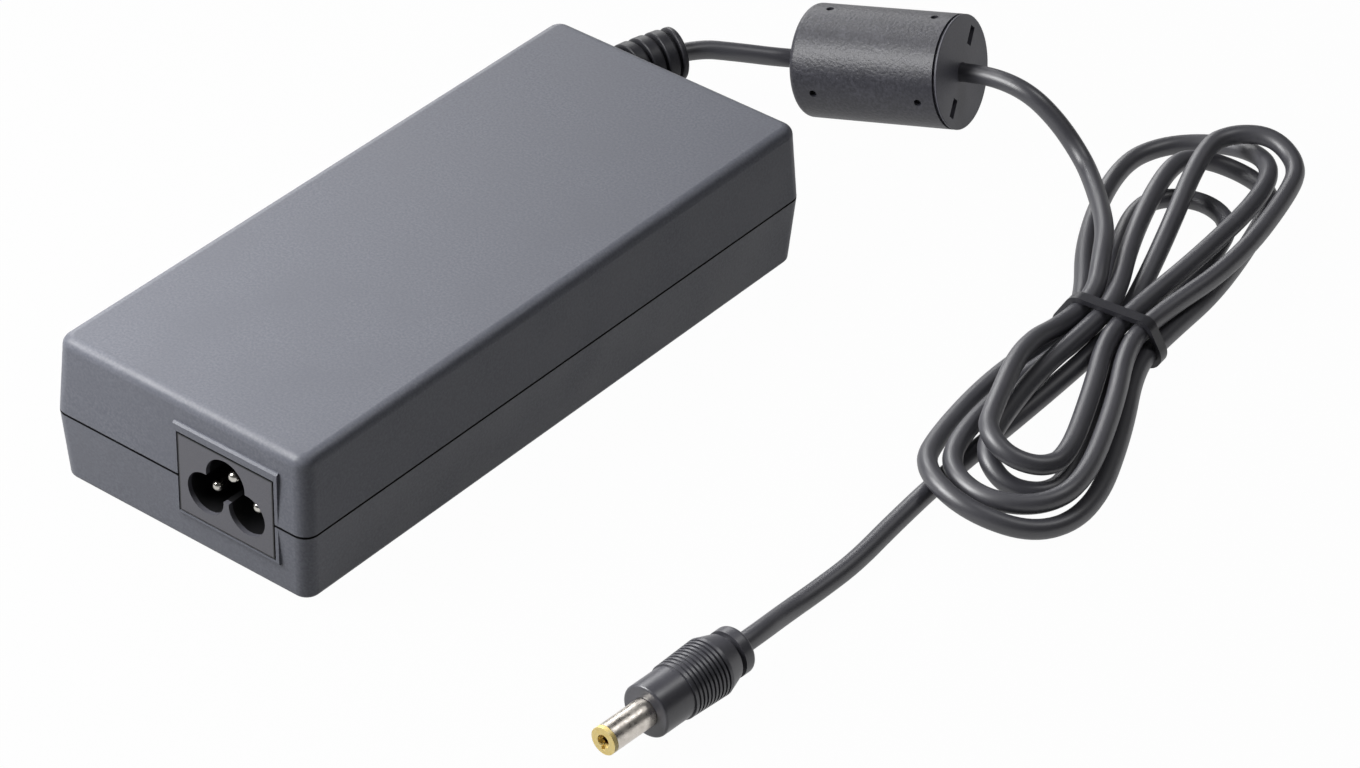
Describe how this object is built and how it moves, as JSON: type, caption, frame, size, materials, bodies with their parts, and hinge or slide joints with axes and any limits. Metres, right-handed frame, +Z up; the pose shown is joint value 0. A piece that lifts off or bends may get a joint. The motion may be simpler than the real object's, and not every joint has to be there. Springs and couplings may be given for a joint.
{
  "type": "laptop power adapter",
  "caption": "Laptop power adapter: dark two-part case with a three-lobed mains inlet, an output cord with a ferrite choke, tied in a hank, and a round barrel plug.",
  "frame": {"origin": "middle of the case's underside", "axes": "+Z up; +Y along the case, from the mains inlet's end to the output cord's end; +X across it"},
  "size_m": [0.1564, 0.2306, 0.0315],
  "materials": {
    "case_plastic": "satin, fine grain",
    "inlet_plastic": "satin",
    "pin_metal": "nickel plated, polished",
    "cord_plastic": "satin, soft",
    "choke_plastic": "matte, speckled",
    "ferrite": "sintered, matte",
    "tie_plastic": "satin",
    "barrel_metal": "nickel plated, polished",
    "insulator_plastic": "glossy",
    "contact_metal": "plated",
    "board": "lacquered laminate",
    "sheet": "satin",
    "sheet_metal": "mill finish",
    "device_body": "moulded",
    "can": "sleeved can",
    "core_ferrite": "sintered",
    "winding_tape": "taped winding",
    "film_case": "moulded box",
    "disc_coat": "dipped",
    "fuse_sleeve": "sleeved",
    "lead_wire": "insulated wire"
  },
  "bodies": {
    "root": {"upper_shell": "case_plastic", "lower_shell": "case_plastic", "inlet_body": "inlet_plastic", "inlet_earth_pin": "pin_metal", "inlet_live_pin": "pin_metal", "inlet_neutral_pin": "pin_metal", "output_strain_relief": "cord_plastic", "cord_to_choke": "cord_plastic", "cord_in_choke": "cord_plastic", "cord_to_hank": "cord_plastic", "cord_hank": "cord_plastic", "cord_to_plug": "cord_plastic", "choke_cover": "choke_plastic", "choke_end_cap": "choke_plastic", "choke_ferrite_core": "ferrite", "cable_tie": "tie_plastic", "plug_overmould": "cord_plastic", "plug_barrel": "barrel_metal", "plug_tip_insulator": "insulator_plastic", "plug_centre_contact": "contact_metal", "circuit_board": "board", "insulation_sheet": "sheet", "upper_shield": "sheet_metal", "primary_heat_sink": "sheet_metal", "secondary_heat_sink": "sheet_metal", "bridge_rectifier": "device_body", "switching_transistor": "device_body", "output_rectifier": "device_body", "bulk_capacitor": "can", "transformer_core": "core_ferrite", "transformer_winding": "winding_tape", "line_filter_base": "device_body", "line_filter_core": "core_ferrite", "interference_capacitor": "film_case", "fuse": "fuse_sleeve", "thermistor": "disc_coat", "disc_capacitor_front": "disc_coat", "disc_capacitor_back": "disc_coat", "optocoupler": "device_body", "output_capacitor_front": "can", "output_capacitor_back": "can", "output_inductor": "core_ferrite", "output_lead_positive": "lead_wire", "output_lead_negative": "lead_wire"}
  },
  "joints": []
}
